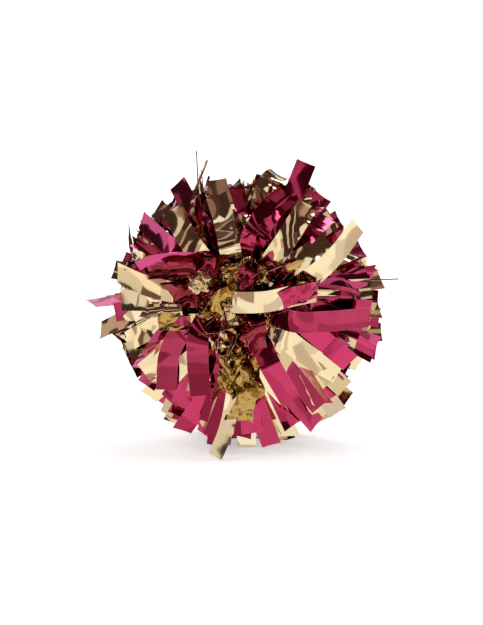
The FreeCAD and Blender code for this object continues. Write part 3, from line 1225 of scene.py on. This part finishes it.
@dataclass(frozen=True)
class Wad:
    """A crushed knot of film that sits among the roots of the streamers.

    Attributes:
        film: What it is made of.
        clock: Its place round the baton, in degrees.
        reach: Its distance from the axis in millimetres.
        advance: Its distance along the baton in millimetres.
        radius: Its mean radius in millimetres.
        crush_and_painted_shade: How much painted shade darkens its colour, from 0 to 1.
    """

    film: Film
    clock: float
    reach: float
    advance: float
    radius: float
    crush_and_painted_shade: float = 0.8

    def build(
        self, bunch: Bunch, name: str, material: bpy.types.Material, chance: np.random.Generator
    ) -> None:
        """Makes the wad: a ball whose radius is a sum of folded waves in many directions.

        Args:
            bunch: The bunch that it sits in.
            name: The piece's name.
            material: Its material.
            chance: The source of its folds.
        """
        polar = np.linspace(0.02, np.pi - 0.02, 40)[:, None]
        turn = np.linspace(0.0, 2 * np.pi, 73)[None, :]
        way = [np.sin(polar) * np.cos(turn), np.sin(polar) * np.sin(turn), np.cos(polar) + 0 * turn]
        way = np.stack(way, axis=-1)
        swell = np.ones(way.shape[:2])
        for rate, depth in FOLDS:
            axis = unit(chance.normal(size=3))
            swell = swell + depth * (np.abs(np.sin(rate * (way @ axis) + chance.uniform(0, 6))) - 0.6)
        centre = bunch.place(self.clock, self.reach * MM, self.advance * MM)
        grids = Grids()
        points = centre + way * (swell * self.radius * MM)[..., None]
        # The wad's painted shade is set by how crushed it is.
        grids.add(points, polar[:, 0] * 30 * MM, float(chance.random()), self.crush_and_painted_shade)
        bind(film_piece(grids, name, material, closed=True), grids.area())


WADS = (
    Wad(G, 279, 36, 110, 8.5, 0.35),
    Wad(P, 262, 34, 94, 10.0),
    Wad(P, 18, 11, 98, 10.0),
    Wad(G, 335, 17, 98, 8.0),
    Wad(G, 55, 22, 99, 6.5),
)


@dataclass
class Baton:
    """The grip, its spools and the bindings: CAD nodes that keep their shape and get their finish.

    Attributes:
        nodes: The frame's nodes.
        finishes: The materials.
    """

    nodes: dict[str, bpy.types.Object]
    finishes: Finishes

    def dress(self) -> None:
        """Gives each hard node its material."""
        wanted = {
            "baton_tube": self.finishes.grip,
            "end_spool": self.finishes.spool,
            "cable_tie": self.finishes.tie,
            "binding_tape": self.finishes.tape,
        }
        for name, node in self.nodes.items():
            for ending, material in wanted.items():
                if name.endswith(ending):
                    node.data.materials.clear()
                    node.data.materials.append(material)
                    log.info("%s: %s", name, material.name)


@dataclass(frozen=True)
class Ring:
    """A ring of reflected panels.

    Attributes:
        low: Elevation of its lower edge in degrees, as seen from the pom.
        high: Elevation of its upper edge.
        panels: How bright its panels are, in order round it.
        repeats: How many times that order goes round.
        turn: How far it is turned, in degrees.
    """

    low: float
    high: float
    panels: tuple[float, ...]
    repeats: int
    turn: float


RINGS = (
    Ring(-78, -60, (1.10, 0.60), 3, 0),
    Ring(-60, -50, (1.25, 0.80, 1.10), 3, 10),
    Ring(-50, -43, (1.05, 1.25, 0.55, 1.20), 3, 25),
    Ring(-43, -34, (1.25, 0.95, 1.20, 1.15, 0.65), 3, 0),
    Ring(-34, -26, (1.20, 0.75, 1.25, 1.00), 3, 5),
    Ring(-26, -20, (1.25, 1.05, 0.50, 1.20), 3, 20),
    Ring(-20, -14, (0.85, 1.25, 1.10, 0.55, 1.20), 2, 0),
    Ring(-14, -7.5, (1.25, 0.90, 1.30), 4, 12),
    Ring(-7.5, 1, (1.00, 0.75, 0.95, 0.20, 0.90, 0.60), 2, 15),
    Ring(1, 14, (0.04, 0.05, 0.04, 0.05, 0.75, 0.05, 0.04), 2, 8),
    Ring(14, 20, (0.80, 0.60, 0.05, 0.70), 2, 20),
    Ring(20, 29, (0.04, 0.07), 3, 0),
    Ring(29, 32, (0.80, 0.60), 3, 12),
    Ring(32, 41, (0.05, 0.14), 3, 10),
    Ring(41, 47, (0.35, 0.90, 0.05), 2, 50),
    Ring(47, 60, (1.10, 0.06, 0.55, 0.05), 2, -30),
    Ring(60, 66, (0.05, 0.08), 3, 0),
    Ring(66, 71, (5.0, 0.05, 0.30), 3, -10),
    Ring(71, 90, (0.06, 0.30), 3, 0),
)


# Each lamp's name, place, width and height, and power in watts
LAMPS = (
    ("soft-left", (-1.3, -1.0, 2.2), (1.1, 0.9), 15.0),
    ("soft-right", (1.4, -0.7, 2.1), (1.0, 0.8), 13.0),
    ("soft-back", (0.2, 1.5, 2.3), (1.4, 0.9), 19.0),
)
ROOM = (0.075, 0.046, 0.042)
PANEL_GAP = 1 * MM  # how far above the floor a panel lies, and how thick it is


@dataclass
class Studio:
    """The floor that curves up into a whitish wall, the tent of panels, the soft lights and the camera.

    Attributes:
        height: The baton's axis above the floor.
        floor_radius: Where the floor starts to curve up.
        wall_radius: Where the wall stands.
        wall_height: How high it is.
        tent_radius: Distance of the reflected panels from the pom.
        glow: How much light the lit-through paper gives of its own.
        distance: The camera's distance from the middle of the pom.
        drop: How far below the baton the camera aims.
        front: How far in front of the pom's middle the place that it aims at is.
        lens: The camera's focal length in millimetres.
    """

    height: float
    floor_radius: float = 1.5
    wall_radius: float = 2.4
    wall_height: float = 1.5
    tent_radius: float = 1.1
    glow: float = 0.46
    distance: float = 0.78
    drop: float = 21.375 * MM
    front: float = 0.05
    lens: float = 44.3

    def sweep(self) -> None:
        """The floor and wall: a quarter circle's profile between a disc and a drum, turned all round."""
        bend = np.linspace(0.0, np.pi / 2, 16)
        size = self.wall_radius - self.floor_radius
        radius = self.floor_radius + size * np.sin(bend)
        radius = np.concatenate([[0.0, 0.5, 1.0], radius, [self.wall_radius]])
        height = np.concatenate([[0.0, 0.0, 0.0], size * (1 - np.cos(bend)), [self.wall_height]])
        turn = np.linspace(0.0, 2 * np.pi, 97)[None, :]
        flat = radius[:, None]
        points = np.stack([flat * np.cos(turn), flat * np.sin(turn), height[:, None] + 0 * turn], axis=-1)
        grids = Grids()
        grids.add(points, radius, 0.0)
        floor = grids.mesh("studio-floor", 4 * MM, closed=True)
        floor.modifiers["film"].offset = 1.0  # its faces point down, so it thickens downwards
        shader = Shader("studio-paper")
        place = shader.node("ShaderNodeTexCoord").outputs["Object"]
        mottle = shader.noise(place, 3.0, 2.0)
        paper = shader.mixed(mottle, opaque((0.90, 0.90, 0.90)), opaque((0.92, 0.92, 0.92)))
        shader.feed(shader.surface, "Base Color", paper)
        shader.feed(shader.surface, "Emission Color", paper)
        shader.feed(shader.surface, "Emission Strength", self.glow)
        shader.feed(shader.surface, "Roughness", 0.85)
        floor.data.materials.append(shader.material)

    def tent(self) -> None:
        """The panels that stand round the set and that only a reflection shows.

        A panel is a patch of a ball round the pom, between two elevations and two azimuths, and
        shines as brightly as its own number says: dark cloth is warm, and white paper is white.
        One that would reach under the floor lies on it instead.
        """
        grids = Grids()
        for ring in RINGS:
            count = len(ring.panels) * ring.repeats
            high = np.radians(np.linspace(ring.low, ring.high, 5))[:, None]
            for number in range(count):
                azimuth = np.radians(np.linspace(number, number + 1, 9)[None, :] * 360 / count + ring.turn)
                x, y = np.cos(high) * np.sin(azimuth), -np.cos(high) * np.cos(azimuth)
                way = np.stack([x, y, np.sin(high) + 0 * azimuth], -1)
                floor = (self.height - PANEL_GAP) / np.maximum(-way[..., 2:], 0.001)
                points = way * np.minimum(self.tent_radius, floor) + [0.0, 0.0, self.height]
                grids.add(points, high[:, 0], ring.panels[number % len(ring.panels)])
        tent = grids.mesh("studio-tent", PANEL_GAP)
        shader = Shader("tent-cloth")
        bright = shader.attribute("streamer")
        cloth = shader.mixed(bright.above(0.1, 1.0), opaque((1.0, 0.46, 0.38)), opaque((1.0, 0.98, 0.96)))
        shader.feed(shader.surface, "Base Color", opaque((0.0, 0.0, 0.0)))
        shader.feed(shader.surface, "Roughness", 1.0)
        shader.feed(shader.surface, "Emission Color", cloth)
        shader.feed(shader.surface, "Emission Strength", bright)
        shader.material.cycles.emission_sampling = "NONE"
        tent.data.materials.append(shader.material)
        tent.visible_camera = tent.visible_diffuse = tent.visible_shadow = tent.visible_transmission = False

    def lamp(
        self, name: str, place: tuple[float, float, float], size: tuple[float, float], power: float
    ) -> None:
        """A soft box aimed at the pom.

        Args:
            name: Its name.
            place: Where it stands.
            size: Its width and height.
            power: Its power in watts.
        """
        data = bpy.data.lights.new(name, "AREA")
        data.shape, data.size, data.size_y, data.energy = "RECTANGLE", size[0], size[1], power
        lamp = bpy.data.objects.new(name, data)
        bpy.context.scene.collection.objects.link(lamp)
        lamp.location = place
        lamp.visible_glossy = False
        lamp.rotation_euler = (-lamp.location).to_track_quat("-Z", "Y").to_euler()

    def build(self) -> None:
        """Sets the stage, the lights, the dim room above them and the camera."""
        self.sweep()
        self.tent()
        for lamp in LAMPS:
            self.lamp(*lamp)
        world = bpy.data.worlds.new("room")
        bpy.context.scene.world = world
        world.use_nodes = True
        world.node_tree.nodes["Background"].inputs[0].default_value = opaque(ROOM)
        bpy.context.scene.view_settings.view_transform = "Standard"

        data = bpy.data.cameras.new("camera")
        data.lens = self.lens
        camera = bpy.data.objects.new("camera", data)
        bpy.context.scene.collection.objects.link(camera)
        camera.location = (0.0, -self.distance, self.height)
        tilt = math.atan2(self.drop, self.distance - self.front)
        camera.rotation_euler = (math.pi / 2 - tilt, 0.0, 0.0)
        bpy.context.scene.camera = camera


def main() -> None:
    """Builds the pom in order."""
    logging.basicConfig(level=logging.INFO, format="%(message)s")
    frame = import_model()
    low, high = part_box("baton_tube")
    height = (low[2] + high[2]) / 2
    finishes = Finishes.make()
    Studio(height).build()
    Baton(frame["nodes"], finishes).dress()
    for name, side, seed, rear in (("front", -1.0, 11, False), ("rear", 1.0, 23, True)):
        bunch = Bunch(name, side, height)
        for number, header in enumerate(HEADERS, 1):
            header.build(bunch, finishes.film[header.film], seed + number)
        Bouquet(bunch, finishes.film, seed, exchanged=rear, loosened=4.0 * rear).build()
        chance = np.random.default_rng(seed + len(HEADERS) + 1)
        for number, wad in enumerate(WADS, 1):
            wad.build(bunch, f"{name}_wad_{number}", finishes.film[wad.film], chance)


if __name__ == "__main__":
    main()
